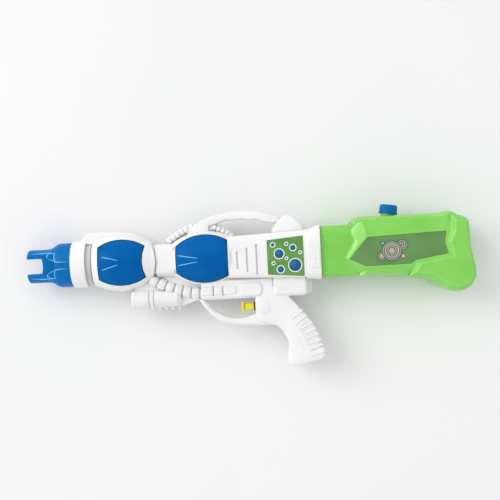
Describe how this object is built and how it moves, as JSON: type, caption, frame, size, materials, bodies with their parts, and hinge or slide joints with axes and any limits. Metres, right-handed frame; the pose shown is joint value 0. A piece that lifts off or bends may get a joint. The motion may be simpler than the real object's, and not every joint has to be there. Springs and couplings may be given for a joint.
{
  "type": "water squirter",
  "caption": "Long toy water squirter with a pronged nozzle, domed barrel windows, carry handle, pistol grip, sliding pump trigger and a tank stock with a screw cap.",
  "frame": {"origin": "on the surface that the squirter lies on, under the middle of its bounding box", "axes": "+X from the muzzle to the butt, +Y from the grip up to the carry handle, +Z out of its left side"},
  "size_m": [0.5646, 0.1997, 0.063],
  "materials": {
    "white": "moulded white plastic, semi-gloss",
    "blue": "moulded mid-blue plastic, glossy",
    "green": "blow-moulded light green plastic, semi-gloss",
    "yellow": "moulded yellow plastic",
    "receiver_film": "printed adhesive film",
    "tank_film": "printed adhesive film",
    "tube": "soft clear vinyl",
    "natural": "unpainted natural plastic",
    "rubber": "soft black rubber",
    "steel": "bright zinc-plated or stainless steel"
  },
  "bodies": {
    "squirter": {"left_shell": "white", "right_shell": "white", "nozzle": "blue", "front_bulb_left": "blue", "front_bulb_right": "blue", "rear_bulb_left": "blue", "rear_bulb_right": "blue", "tank": "green", "receiver_label": "receiver_film", "tank_label": "tank_film", "delivery_tube": "tube", "suction_tube": "tube", "jet_insert": "natural", "pump_cylinder": "natural", "valve_block": "natural", "inlet_seat": "natural", "outlet_spigot": "natural", "jet_seal": "rubber", "tank_bung": "rubber", "return_spring": "steel", "shell_screw_1": "steel", "shell_screw_2": "steel", "shell_screw_3": "steel", "shell_screw_4": "steel", "shell_screw_5": "steel", "shell_screw_6": "steel", "shell_screw_7": "steel", "shell_screw_8": "steel", "shell_screw_9": "steel"},
    "trigger": {"trigger": "yellow", "piston": "natural", "piston_seal": "rubber"},
    "cap_thread": {"cap_liner": "rubber"},
    "cap": {"filler_cap": "blue"},
    "inlet_valve": {"inlet_ball": "steel"},
    "outlet_valve": {"outlet_ball": "steel"}
  },
  "joints": [
    {"name": "trigger_pull", "type": "slide", "parent": "squirter", "child": "trigger", "axis": [1, 0, 0], "range_m": [0, 0.012], "stiffness_N_per_m": 500, "springref_m": -0.012, "deforming": ["return_spring"]},
    {"name": "cap_lift", "type": "slide", "parent": "squirter", "child": "cap_thread", "axis": [0.1461, 0.9893, 0], "range_m": [0, 0.009]},
    {"name": "cap_turn", "type": "hinge", "parent": "cap_thread", "child": "cap", "pos_m": [0.178, 0.08448, 0.0315], "axis": [0.1461, 0.9893, 0], "range_deg": [0, 720]},
    {"name": "inlet_ball_lift", "type": "slide", "parent": "squirter", "child": "inlet_valve", "axis": [-1, 0, 0], "range_m": [0, 0.0015]},
    {"name": "outlet_ball_lift", "type": "slide", "parent": "squirter", "child": "outlet_valve", "axis": [0, 1, 0], "range_m": [0, 0.0015]}
  ],
  "couplings": [
    {"joint": "cap_turn", "follows": "cap_lift", "rad_per_m": 1396.1}
  ]
}
